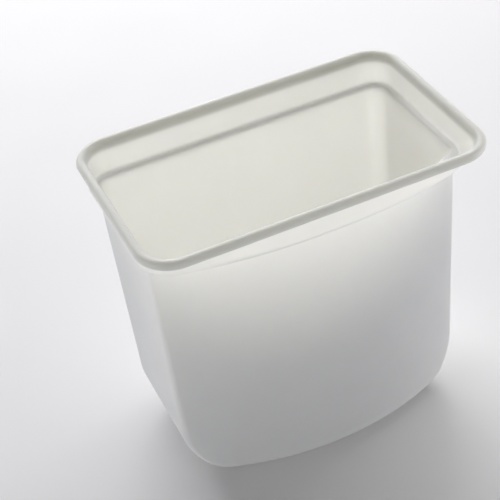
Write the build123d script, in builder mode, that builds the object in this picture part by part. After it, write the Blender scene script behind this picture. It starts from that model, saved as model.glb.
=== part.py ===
from build123d import *
import os
from math import cos, radians, sqrt

# A storage bin moulded in one piece from translucent polypropylene. It has a round lip on the
# outside of a straight-sided mouth, a collar that stands on a ledge, and a body with a flat back and
# a bowed front that meets its ends at tight corners.
# The long side runs along X, the bowed front faces -Y and +Z is up. The origin is on the floor,
# under the middle of the rim. All sizes are in millimetres.

# Driving dimensions
RIM_LENGTH = 250.0  # along X, over the lip
RIM_DEPTH = 160.0  # along Y, over the lip
RIM_CORNER_RADIUS = 26.0  # outside of the lip, in plan
HEIGHT = 235.0  # from the floor to the top of the lip
LIP_DIAMETER = 7.0
LIP_STANDS_OUT = 3.2  # from the inside of the collar to the lip's centre line
WALL = 2.0

COLLAR_HEIGHT = 24.0  # from the top of the lip down to the ledge inside
LEDGE_LENGTH = 240.0  # along X, over the foot of the collar
LEDGE_DEPTH = 146.0
LEDGE_BOW = 19.0  # how far the middle of the collar's foot stands ahead of its ends, in front
LEDGE_FRONT_CORNER = 30.0
LEDGE_BACK_CORNER = 20.0
BODY_LENGTH = 229.0  # at the ledge
BODY_DEPTH = 137.0  # at the ledge, from the back to the middle of the bow
TAPER = 4.3  # each wall leans in by this much between the ledge and the floor
BOW_AT_LEDGE = 31.0  # how far the middle of the front stands ahead of its ends
BOW_AT_FLOOR = 29.5
FRONT_CORNER_AT_LEDGE = 4.0
FRONT_CORNER_AT_FLOOR = 9.0
BACK_CORNER = 13.5
END_ROUNDING = 41.5  # radius where the two end walls turn into the base
LONG_ROUNDING = 14.5  # radius where the front and the back turn into the base

# Levels of the plans that shape the rounded bottom, as turns of the end rounding in degrees
BOTTOM_TURNS = [0, 6, 12, 18, 25, 33, 41, 49, 59, 69, 79, 90]

# Worked out from them
LIP_RADIUS = LIP_DIAMETER / 2
LIP_Z = HEIGHT - LIP_RADIUS
LEDGE_Z = HEIGHT - COLLAR_HEIGHT


def between(at_floor, at_ledge, height):
    """A size that changes evenly from the floor to the ledge."""
    return at_floor + (at_ledge - at_floor) * height / LEDGE_Z


def drawn_in(radius, rise):
    """How far a bottom edge of this radius still lies inside its wall, at this rise above the base."""
    below_top = max(radius - rise, 0.0)
    return radius - sqrt(radius**2 - below_top**2)


def bowed_plan(height, half_length, front_end, front, back, front_corner, back_corner):
    """A plan with straight ends, a flat back and a bowed front that starts at y = front_end."""
    with BuildSketch(Plane.XY.offset(height)) as plan:
        with BuildLine():
            left_end, right_end = (-half_length, front_end), (half_length, front_end)
            Polyline(left_end, (-half_length, back), (half_length, back), right_end)
            ThreePointArc(right_end, (0, front), left_end)
        make_face()
        fillet(plan.vertices().group_by(Axis.Y)[-1], back_corner)
        fillet(plan.vertices().group_by(Axis.Y)[0], front_corner)
    return plan.sketch


def bow_start(front, bow_radius, half_length):
    """The Y of the ends of a bow whose middle lies at y = front."""
    return front + bow_radius - sqrt(bow_radius**2 - half_length**2)


def body_plan(height, inset):
    """The body's plan at a height, on a surface that lies this far inside the outside one."""
    taper = between(TAPER, 0.0, height)
    end = inset + drawn_in(END_ROUNDING - inset, height - inset)
    long_side = inset + drawn_in(LONG_ROUNDING - inset, height - inset)
    half_length = BODY_LENGTH / 2 - taper
    front = -BODY_DEPTH / 2 + taper + long_side
    back = BODY_DEPTH / 2 - taper - long_side
    bow = between(BOW_AT_FLOOR, BOW_AT_LEDGE, height)
    bow_radius = (half_length**2 + bow**2) / (2 * bow) - inset
    half_length -= end
    front_end = bow_start(front, bow_radius, half_length)
    front_corner = between(FRONT_CORNER_AT_FLOOR, FRONT_CORNER_AT_LEDGE, height) - inset
    return bowed_plan(
        height, half_length, front_end, front, back, front_corner, BACK_CORNER - inset
    )


def ledge_plan(height, inset):
    """The plan of the foot of the collar, this far inside its outside surface."""
    half_length, front, back = LEDGE_LENGTH / 2, -LEDGE_DEPTH / 2 + inset, LEDGE_DEPTH / 2 - inset
    bow_radius = (half_length**2 + LEDGE_BOW**2) / (2 * LEDGE_BOW) - inset
    half_length -= inset
    front_end = bow_start(front, bow_radius, half_length)
    front_corner, back_corner = LEDGE_FRONT_CORNER - inset, LEDGE_BACK_CORNER - inset
    return bowed_plan(height, half_length, front_end, front, back, front_corner, back_corner)


def rim_plan(standing_out):
    """The rounded rectangle at the lip's centre line, or this far outside it."""
    growth = 2 * (standing_out - LIP_RADIUS)
    with BuildSketch(Plane.XY.offset(LIP_Z)) as plan:
        RectangleRounded(RIM_LENGTH + growth, RIM_DEPTH + growth, RIM_CORNER_RADIUS + growth / 2)
    return plan.sketch


def filled_body(inset):
    """The body as a solid block up to the ledge, this far inside its outside surface."""
    rounding = END_ROUNDING - inset
    levels = [inset + rounding * (1 - cos(radians(turn))) for turn in BOTTOM_TURNS]
    with BuildPart() as block:
        loft([body_plan(level, inset) for level in [*levels, LEDGE_Z]], ruled=True)
    return block.part


def filled_collar(foot_z, foot_inset, standing_out):
    """The collar as a solid block, from its foot on the ledge to the middle of the lip."""
    with BuildPart() as block:
        loft([ledge_plan(foot_z, foot_inset), rim_plan(standing_out)], ruled=True)
    return block.part


# The outside, the space inside, and the lip that closes the top edge of the wall
with BuildPart() as bin_shell:
    add(filled_body(0.0))
    add(filled_collar(LEDGE_Z - WALL, 0.0, WALL - LIP_STANDS_OUT))
    add(filled_body(WALL), mode=Mode.SUBTRACT)
    add(filled_collar(LEDGE_Z, WALL, -LIP_STANDS_OUT), mode=Mode.SUBTRACT)
    with BuildLine(Plane.XY.offset(LIP_Z)) as lip:
        lip_x = RIM_LENGTH / 2 - LIP_RADIUS
        lip_y = RIM_DEPTH / 2 - LIP_RADIUS
        corners = [(-lip_x, -lip_y), (lip_x, -lip_y), (lip_x, lip_y), (-lip_x, lip_y)]
        FilletPolyline(*corners, radius=RIM_CORNER_RADIUS - LIP_RADIUS, close=True)
    with BuildSketch(Plane(origin=lip.line @ 0, z_dir=lip.line % 0)):
        Circle(LIP_RADIUS)
    sweep()

os.makedirs("parts", exist_ok=True)
bin_shell.part.label = "bin_shell"
export_step(bin_shell.part, "parts/bin_shell.step")
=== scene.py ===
import math

import bmesh
import bpy
import numpy as np
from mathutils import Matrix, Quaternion, Vector


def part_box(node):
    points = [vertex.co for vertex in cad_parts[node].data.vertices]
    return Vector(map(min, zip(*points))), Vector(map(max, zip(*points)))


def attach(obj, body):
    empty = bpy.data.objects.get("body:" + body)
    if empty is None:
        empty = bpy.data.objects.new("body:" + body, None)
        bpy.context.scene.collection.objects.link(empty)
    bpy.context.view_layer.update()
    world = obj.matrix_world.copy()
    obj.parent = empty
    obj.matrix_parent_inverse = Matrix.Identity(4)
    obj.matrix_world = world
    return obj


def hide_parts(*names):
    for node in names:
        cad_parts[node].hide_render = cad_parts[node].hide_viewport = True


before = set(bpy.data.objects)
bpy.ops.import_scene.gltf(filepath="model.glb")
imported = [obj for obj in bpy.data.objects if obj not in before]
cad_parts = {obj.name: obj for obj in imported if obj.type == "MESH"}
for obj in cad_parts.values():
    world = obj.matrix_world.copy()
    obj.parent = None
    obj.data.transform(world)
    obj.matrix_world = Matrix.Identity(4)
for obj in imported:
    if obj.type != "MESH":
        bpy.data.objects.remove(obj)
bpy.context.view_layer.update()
low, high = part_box("bin_shell")
middle = (low + high) / 2

MM = 0.001

# The bin's sizes in metres. Its outer size comes from the frame, and the rest repeats the CAD part.
HALF_RIM_X = (high.x - low.x) / 2
HALF_RIM_Y = (high.y - low.y) / 2
RIM_CORNER = 26.0 * MM
LIP_RADIUS = 3.5 * MM
LIP_Z = high.z - LIP_RADIUS
LIP_STANDS_OUT = 3.2 * MM  # of its centre line, from the inside of the collar
WALL = 2.0 * MM
LEDGE_Z = high.z - 24.0 * MM
HALF_LEDGE_X = 120.0 * MM
HALF_LEDGE_Y = 73.0 * MM
LEDGE_BOW = 19.0 * MM
LEDGE_FRONT_CORNER = 30.0 * MM
LEDGE_BACK_CORNER = 20.0 * MM
HALF_BODY_X = 114.5 * MM
HALF_BODY_Y = 68.5 * MM
TAPER = 4.3 * MM
BOW_AT_LEDGE = 31.0 * MM
BOW_AT_FLOOR = 29.5 * MM
FRONT_CORNER_AT_LEDGE = 4.0 * MM
FRONT_CORNER_AT_FLOOR = 9.0 * MM
BACK_CORNER = 13.5 * MM
END_ROUNDING = 41.5 * MM
LONG_ROUNDING = 14.5 * MM

# Small moulding details
UNDER_LEDGE_FILLET = 2.2 * MM
FOOT_FILLET = 2.2 * MM
LEDGE_EDGE_FILLET = 2.0 * MM
LEDGE_CORNER_FILLET = 2.2 * MM
LIP_JUNCTION_FILLET = 0.9 * MM

# The shallow panel under the base, with the gate mark in its middle, and the boss above the gate
PANEL_MARGIN = 9.0 * MM
PANEL_STEP = 1.5 * MM
PANEL_DEPTH = 0.5 * MM
PANEL_EDGE = ((1 / 3, 0.85), (2 / 3, 0.15))  # shares of the step's width and of its depth
GATE_RINGS = (  # radius and rise above the panel, in millimetres
    (1.0, 0.0), (1.3, 0.1), (1.5, 0.4), (4.6, 0.4), (5.4, 0.3), (6.6, 0.05), (7.6, 0.0),
)
BOSS_RISE = 0.2 * MM
BOSS_RINGS = ((9.0, 0.0), (8.2, 0.15), (7.0, 0.85), (6.0, 1.0), (2.0, 1.0))  # mm, share of rise

# How finely each edge of the plan and each part of the profile is divided
SIDE_STEPS = 16
CORNER_STEPS = 16
BACK_STEPS = 40
FRONT_STEPS = 52
BOTTOM_STEPS = 20
WALL_STEPS = 14
COLLAR_STEPS = 6
LIP_STEPS = 28
FILLET_STEPS = 5
PANEL_STEPS = 8
PANEL_RIM_STEPS = 3
INSIDE_BASE_STEPS = 9
FLOOR_STEPS = 96

FLOOR_RADIUS = 6.0  # metres
NOISE_RANGE = (0.3, 0.7)  # most of a noise's values lie between these


# ---------------------------------------------------------------- camera
SENSOR_WIDTH = 36.0
LENS = 96.135
NEAR_CLIP = 0.01
LOOK_AZIMUTH = 19.473  # degrees, from +Y towards +X
LOOK_DOWN = 38.634
ROLL = -7.90
DISTANCE = 0.9699
AIM_FROM_MIDDLE = Vector((-0.02089, 0.02409, 0.01970))


def direction(azimuth, elevation):
    """The unit vector towards this azimuth, from +Y towards +X, and this elevation, in degrees."""
    azimuth, elevation = math.radians(azimuth), math.radians(elevation)
    flat = math.cos(elevation)
    return Vector((math.sin(azimuth) * flat, math.cos(azimuth) * flat, math.sin(elevation)))


def make_camera():
    look = direction(LOOK_AZIMUTH, -LOOK_DOWN)
    data = bpy.data.cameras.new("camera")
    data.sensor_width = SENSOR_WIDTH
    data.lens = LENS
    data.clip_start = NEAR_CLIP
    camera = bpy.data.objects.new("camera", data)
    camera.location = middle + AIM_FROM_MIDDLE - look * DISTANCE
    camera.rotation_mode = "QUATERNION"
    upright = look.to_track_quat("-Z", "Y")
    camera.rotation_quaternion = upright @ Quaternion((0, 0, 1), math.radians(ROLL))
    bpy.context.scene.collection.objects.link(camera)
    bpy.context.scene.camera = camera


make_camera()


# ---------------------------------------------------------------- plans of the bin
def straight(start, end, steps):
    """Points along a straight edge of a plan, without its end."""
    return np.linspace(start, end, steps, endpoint=False)


def arc(centre, radius, start, end, steps):
    """Points along an arc of a plan, in degrees, without its end."""
    turn = np.radians(np.linspace(start, end, steps, endpoint=False))
    return np.array(centre) + radius * np.column_stack((np.cos(turn), np.sin(turn)))


def ring(plan, height):
    return np.column_stack((plan, np.full(len(plan), height)))


def drawn_in(radius, rise):
    """How far a bottom edge of this radius lies inside its wall, at this rise above the base."""
    below_top = max(radius - rise, 0.0)
    return radius - math.sqrt(max(radius**2 - below_top**2, 0.0))


def bowed_plan(half_x, front, back, bow_radius, front_corner, back_corner):
    """A plan with straight ends, a flat back and a bowed front."""
    bow_y = front + bow_radius
    corner_x = half_x - front_corner
    corner_reach = bow_radius - front_corner
    corner_y = bow_y - math.sqrt(corner_reach**2 - corner_x**2)
    turn = math.degrees(math.asin(corner_x / corner_reach))
    back_x, back_y = half_x - back_corner, back - back_corner
    return np.vstack((
        straight((half_x, corner_y), (half_x, back_y), SIDE_STEPS),
        arc((back_x, back_y), back_corner, 0, 90, CORNER_STEPS),
        straight((back_x, back), (-back_x, back), BACK_STEPS),
        arc((-back_x, back_y), back_corner, 90, 180, CORNER_STEPS),
        straight((-half_x, back_y), (-half_x, corner_y), SIDE_STEPS),
        arc((-corner_x, corner_y), front_corner, 180, 270 - turn, CORNER_STEPS),
        arc((0, bow_y), bow_radius, 270 - turn, 270 + turn, FRONT_STEPS),
        arc((corner_x, corner_y), front_corner, 270 + turn, 360, CORNER_STEPS),
    ))


def body_plan(height, inset):
    """The body's plan at a height, on a surface that lies this far inside the outside one."""
    share = height / LEDGE_Z
    taper = TAPER * (1 - share)
    bow = BOW_AT_FLOOR + (BOW_AT_LEDGE - BOW_AT_FLOOR) * share
    front_corner = FRONT_CORNER_AT_FLOOR + (FRONT_CORNER_AT_LEDGE - FRONT_CORNER_AT_FLOOR) * share
    long_side = inset + drawn_in(LONG_ROUNDING - inset, height - inset)
    half_x = HALF_BODY_X - taper
    bow_radius = (half_x**2 + bow**2) / (2 * bow) - inset
    half_x -= inset + drawn_in(END_ROUNDING - inset, height - inset)
    side = HALF_BODY_Y - taper - long_side
    corners = front_corner - inset, BACK_CORNER - inset
    return bowed_plan(half_x, -side, side, bow_radius, *corners)


def ledge_plan(inset):
    """The plan of the foot of the collar, this far inside its outside surface."""
    bow_radius = (HALF_LEDGE_X**2 + LEDGE_BOW**2) / (2 * LEDGE_BOW) - inset
    side = HALF_LEDGE_Y - inset
    corners = LEDGE_FRONT_CORNER - inset, LEDGE_BACK_CORNER - inset
    return bowed_plan(HALF_LEDGE_X - inset, -side, side, bow_radius, *corners)


def rim_plan(standing_out):
    """The rounded rectangle this far outside the lip's centre line, in the body's steps."""
    half_x = HALF_RIM_X - LIP_RADIUS + standing_out
    half_y = HALF_RIM_Y - LIP_RADIUS + standing_out
    corner = RIM_CORNER - LIP_RADIUS + standing_out
    x, y = half_x - corner, half_y - corner
    return np.vstack((
        straight((half_x, -y), (half_x, y), SIDE_STEPS),
        arc((x, y), corner, 0, 90, CORNER_STEPS),
        straight((x, half_y), (-x, half_y), BACK_STEPS),
        arc((-x, y), corner, 90, 180, CORNER_STEPS),
        straight((-half_x, y), (-half_x, -y), SIDE_STEPS),
        arc((-x, -y), corner, 180, 270, CORNER_STEPS),
        straight((-x, -half_y), (x, -half_y), FRONT_STEPS),
        arc((x, -y), corner, 270, 360, CORNER_STEPS),
    ))


def shrunk(plan, margin):
    """A plan about this far inside another one, of the same shape."""
    centre = (plan.max(0) + plan.min(0)) / 2
    half = (plan.max(0) - plan.min(0)) / 2
    return centre + (plan - centre) * (1 - margin / half)


def disc(plan, radius):
    """A circle in the same steps as a plan, round the plan's centre."""
    centre = (plan.max(0) + plan.min(0)) / 2
    half = (plan.max(0) - plan.min(0)) / 2
    spread = (plan - centre) / half
    return centre + radius * spread / np.linalg.norm(spread, axis=1, keepdims=True)


# ---------------------------------------------------------------- profile of the bin
def unit(vectors):
    return vectors / np.linalg.norm(vectors, axis=1, keepdims=True)


def fillet(before, corner, after, setback):
    """Rings that round off the corner between three rings."""
    start = corner + unit(before - corner) * setback
    end = corner + unit(after - corner) * setback
    steps = np.linspace(0, 1, FILLET_STEPS)
    return [(1 - t)**2 * start + 2 * t * (1 - t) * corner + t**2 * end for t in steps]


def between(start, end, steps):
    """The rings that lie between two rings, without either of them."""
    return [start + (end - start) * step / steps for step in range(1, steps)]


lip_line = ring(rim_plan(0.0), LIP_Z)
lip_out = unit(ring(rim_plan(LIP_RADIUS), 0.0) - ring(rim_plan(0.0), 0.0))


def lip_ring(angles):
    """A ring on the round lip: 0 faces outwards and 90 degrees faces up."""
    side = lip_out * np.cos(angles)[:, None]
    rise = np.array([[0.0, 0.0, 1.0]]) * np.sin(angles)[:, None]
    return lip_line + LIP_RADIUS * (side + rise)


def lip_meets(foot, top):
    """The angle round the lip at which each line from foot to top enters it."""
    angles = []
    for point, end, centre, out in zip(foot, top, lip_line, lip_out):
        start = np.array((np.dot(point - centre, out), point[2] - centre[2]))
        run = np.array((np.dot(end - centre, out), end[2] - centre[2])) - start
        a, b, c = run @ run, 2 * start @ run, start @ start - LIP_RADIUS**2
        entry = start + run * (-b - math.sqrt(b * b - 4 * a * c)) / (2 * a)
        angles.append(math.atan2(entry[1], entry[0]))
    return np.array(angles)


def bottom_rings(inset):
    """The rings of the rounded bottom, from the flat of the base up to the straight wall."""
    rounding = END_ROUNDING - inset
    turns = np.radians(np.linspace(0, 90, BOTTOM_STEPS + 1))
    heights = inset + rounding * (1 - np.cos(turns))
    return [ring(body_plan(height, inset), height) for height in heights]


def underside_rings():
    """From the gate mark in the middle to the edge of the shallow panel under the base."""
    flat = body_plan(0.0, 0.0)
    rings = [ring(disc(flat, radius * MM), PANEL_DEPTH + rise * MM) for radius, rise in GATE_RINGS]
    edge = ring(shrunk(flat, PANEL_MARGIN), PANEL_DEPTH)
    rings += between(rings[-1], edge, PANEL_STEPS) + [edge]
    for across, depth in PANEL_EDGE:
        plan = shrunk(flat, PANEL_MARGIN - PANEL_STEP * across)
        rings.append(ring(plan, PANEL_DEPTH * depth))
    rings.append(ring(shrunk(flat, PANEL_MARGIN - PANEL_STEP), 0.0))
    return rings + between(rings[-1], ring(flat, 0.0), PANEL_RIM_STEPS)


def inside_base_rings():
    """From the edge of the floor inside to the low round boss over the gate."""
    flat = body_plan(WALL, WALL)
    boss = [ring(disc(flat, radius * MM), WALL + BOSS_RISE * rise) for radius, rise in BOSS_RINGS]
    return between(ring(flat, WALL), boss[0], INSIDE_BASE_STEPS) + boss


def profile_rings():
    """Every ring of the closed skin, from under the base, up the outside and down the inside."""
    outside = bottom_rings(0.0)
    under_ledge_z = LEDGE_Z - WALL
    root = ring(body_plan(under_ledge_z, 0.0), under_ledge_z)
    foot = ring(ledge_plan(0.0), under_ledge_z)
    top = ring(rim_plan(WALL - LIP_STANDS_OUT), LIP_Z)
    first = lip_meets(foot, top)

    inside = bottom_rings(WALL)
    edge = ring(body_plan(LEDGE_Z, WALL), LEDGE_Z)
    corner = ring(ledge_plan(WALL), LEDGE_Z)
    inner_top = ring(rim_plan(-LIP_STANDS_OUT), LIP_Z)
    last = lip_meets(corner, inner_top) % math.tau

    lip_start, lip_end = lip_ring(first), lip_ring(last)
    lip = [lip_ring(first + (last - first) * step / LIP_STEPS) for step in range(1, LIP_STEPS)]

    rings = underside_rings() + outside
    rings += between(outside[-1], root, WALL_STEPS)
    rings += fillet(outside[-1], root, foot, UNDER_LEDGE_FILLET)
    rings += fillet(root, foot, lip_start, FOOT_FILLET)
    rings += between(rings[-1], lip_start, COLLAR_STEPS)[:-1]
    rings += fillet(foot, lip_start, lip[0], LIP_JUNCTION_FILLET)[:-1]
    rings += lip[1:-1]
    rings += fillet(lip[-1], lip_end, corner, LIP_JUNCTION_FILLET)[1:]
    collar_foot = fillet(lip_end, corner, edge, LEDGE_CORNER_FILLET)
    rings += between(rings[-1], collar_foot[0], COLLAR_STEPS) + collar_foot
    rings += fillet(corner, edge, inside[-1], LEDGE_EDGE_FILLET)
    rings += between(rings[-1], inside[-1], WALL_STEPS)
    return rings + inside[::-1] + inside_base_rings()


def make_skin(name, rings, first_z, last_z):
    """A closed mesh through the rings, with a fan of triangles at each end."""
    mesh = bmesh.new()
    rows = [[mesh.verts.new(point) for point in points] for points in rings]
    count = len(rows[0])
    for row, following in zip(rows, rows[1:]):
        for i in range(count):
            j = (i + 1) % count
            mesh.faces.new((row[i], row[j], following[j], following[i]))
    for row, points, z in ((rows[0], rings[0], first_z), (rows[-1], rings[-1], last_z)):
        centre = points.mean(0)
        hub = mesh.verts.new((centre[0], centre[1], z))
        for i in range(count):
            mesh.faces.new((hub, row[i], row[(i + 1) % count]))
    bmesh.ops.recalc_face_normals(mesh, faces=mesh.faces)
    for face in mesh.faces:
        face.smooth = True
    data = bpy.data.meshes.new(name)
    mesh.to_mesh(data)
    mesh.free()
    piece = bpy.data.objects.new(name, data)
    bpy.context.scene.collection.objects.link(piece)
    return piece


# ---------------------------------------------------------------- materials
def new_material(name):
    material = bpy.data.materials.new(name)
    material.use_nodes = True
    nodes = material.node_tree.nodes
    return material, nodes, material.node_tree.links, nodes["Principled BSDF"]


def noise(nodes, links, source, scale, detail):
    texture = nodes.new("ShaderNodeTexNoise")
    texture.inputs["Scale"].default_value = scale
    texture.inputs["Detail"].default_value = detail
    links.new(source, texture.inputs["Vector"])
    return texture.outputs["Fac"]


def spread(nodes, links, source, low_value, high_value):
    """The middle of a noise's range, spread over two values."""
    node = nodes.new("ShaderNodeMapRange")
    node.inputs["From Min"].default_value = NOISE_RANGE[0]
    node.inputs["From Max"].default_value = NOISE_RANGE[1]
    node.inputs["To Min"].default_value = low_value
    node.inputs["To Max"].default_value = high_value
    links.new(source, node.inputs["Value"])
    return node.outputs["Result"]


def bump(nodes, links, height, distance, strength, under=None):
    node = nodes.new("ShaderNodeBump")
    node.inputs["Distance"].default_value = distance
    node.inputs["Strength"].default_value = strength
    links.new(height, node.inputs["Height"])
    if under is not None:
        links.new(under, node.inputs["Normal"])
    return node.outputs["Normal"]


# Colours of the plastic, and where the lip's painted shade comes in, in lip radii below its middle
WALL_TONES = (0.845, 0.855, 0.82, 1), (0.815, 0.82, 0.785, 1)
# Painted shade: this grey darkens the lip; it is not a colour of the plastic's own
LIP_PAINTED_SHADE = (0.60, 0.607, 0.60, 1)
LIP_SHADE_STARTS = 1.6
LIP_SHADE_FULL = 0.6

FLOOR_TONE = (0.85, 0.845, 0.87, 1)


def plastic_material():
    """Natural white polypropylene: milky, a little translucent, with a satin moulded surface."""
    material, nodes, links, shader = new_material("milky_polypropylene")
    place = nodes.new("ShaderNodeTexCoord").outputs["Object"]

    # Flow and thickness show as slow, faint changes of tone
    tone = nodes.new("ShaderNodeMix")
    tone.data_type = "RGBA"
    tone.inputs["A"].default_value = WALL_TONES[0]
    tone.inputs["B"].default_value = WALL_TONES[1]
    clouds = noise(nodes, links, place, scale=14.0, detail=3.0)
    links.new(spread(nodes, links, clouds, 0.0, 1.0), tone.inputs["Factor"])

    # Painted shade: the lip's colour is darkened below the walls' to stand in for the shade of its
    # thick bead and to dim its highlight
    height = nodes.new("ShaderNodeSeparateXYZ")
    links.new(place, height.inputs["Vector"])
    lip_shade_mask = nodes.new("ShaderNodeMapRange")
    lip_shade_mask.interpolation_type = "SMOOTHSTEP"
    lip_shade_mask.inputs["From Min"].default_value = LIP_Z - LIP_SHADE_STARTS * LIP_RADIUS
    lip_shade_mask.inputs["From Max"].default_value = LIP_Z - LIP_SHADE_FULL * LIP_RADIUS
    links.new(height.outputs["Z"], lip_shade_mask.inputs["Value"])
    wall_or_lip_shade = nodes.new("ShaderNodeMix")
    wall_or_lip_shade.data_type = "RGBA"
    wall_or_lip_shade.inputs["B"].default_value = LIP_PAINTED_SHADE
    links.new(lip_shade_mask.outputs["Result"], wall_or_lip_shade.inputs["Factor"])
    links.new(tone.outputs["Result"], wall_or_lip_shade.inputs["A"])
    links.new(wall_or_lip_shade.outputs["Result"], shader.inputs["Base Color"])

    links.new(spread(nodes, links, clouds, 0.40, 0.48), shader.inputs["Roughness"])

    # A faint waviness from cooling, with the fine grain of the mould over it
    waves = noise(nodes, links, place, scale=22.0, detail=1.0)
    waves = bump(nodes, links, waves, distance=0.6 * MM, strength=0.35)
    grain = noise(nodes, links, place, scale=1600.0, detail=2.0)
    surface = bump(nodes, links, grain, distance=0.05 * MM, strength=0.35, under=waves)
    links.new(surface, shader.inputs["Normal"])

    shader.inputs["IOR"].default_value = 1.49
    shader.inputs["Specular IOR Level"].default_value = 0.25
    shader.inputs["Subsurface Weight"].default_value = 1.0
    shader.inputs["Subsurface Radius"].default_value = (1.0, 0.97, 0.82)
    shader.inputs["Subsurface Scale"].default_value = 15.0 * MM
    return material


def floor_material():
    material, nodes, links, shader = new_material("pale_floor")
    place = nodes.new("ShaderNodeTexCoord").outputs["Object"]
    shader.inputs["Base Color"].default_value = FLOOR_TONE
    cloud = noise(nodes, links, place, scale=9.0, detail=2.0)
    links.new(spread(nodes, links, cloud, 0.5, 0.56), shader.inputs["Roughness"])
    shader.inputs["Specular IOR Level"].default_value = 0.25
    return material


# ---------------------------------------------------------------- the bin
moulding = make_skin("bin_moulding", profile_rings(), PANEL_DEPTH, WALL + BOSS_RISE)
moulding.data.materials.append(plastic_material())
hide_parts("bin_shell")
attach(moulding, "root")


# ---------------------------------------------------------------- floor and light
def make_floor():
    mesh = bmesh.new()
    bmesh.ops.create_circle(mesh, cap_ends=True, segments=FLOOR_STEPS, radius=FLOOR_RADIUS)
    data = bpy.data.meshes.new("floor")
    mesh.to_mesh(data)
    mesh.free()
    floor = bpy.data.objects.new("floor", data)
    floor.location.z = low.z
    floor.data.materials.append(floor_material())
    bpy.context.scene.collection.objects.link(floor)


# Name, azimuth and elevation in degrees, distance in metres, size in metres, power in watts, colour
LIGHTS = (
    ("window", 6.0, 31.0, 2.8, (2.85, 1.45), 73.0, (1.0, 0.995, 0.995)),
    ("second_window", 60.0, 46.0, 2.0, (1.2, 1.2), 11.0, (1.0, 0.985, 0.96)),
    ("right_fill", 124.0, 4.0, 2.0, (1.4, 0.4), 18.5, (1.0, 0.985, 0.965)),
    ("left_fill", -98.0, 4.0, 2.0, (1.0, 0.4), 12.5, (1.0, 1.0, 1.0)),
)


def make_light(name, azimuth, elevation, distance, size, power, colour):
    """A soft rectangular light that faces the bin from this azimuth and elevation, in degrees."""
    data = bpy.data.lights.new(name, "AREA")
    data.shape = "RECTANGLE"
    data.size, data.size_y = size
    data.energy = power
    data.color = colour
    light = bpy.data.objects.new(name, data)
    towards = direction(azimuth, elevation)
    light.location = middle + towards * distance
    light.rotation_mode = "QUATERNION"
    light.rotation_quaternion = (-towards).to_track_quat("-Z", "Y")
    bpy.context.scene.collection.objects.link(light)


def make_world():
    world = bpy.data.worlds.new("studio")
    world.use_nodes = True
    background = world.node_tree.nodes["Background"]
    background.inputs["Color"].default_value = (0.96, 0.97, 1.0, 1)
    background.inputs["Strength"].default_value = 0.12
    bpy.context.scene.world = world


make_floor()
for light in LIGHTS:
    make_light(*light)
make_world()
bpy.context.scene.view_settings.view_transform = "Standard"
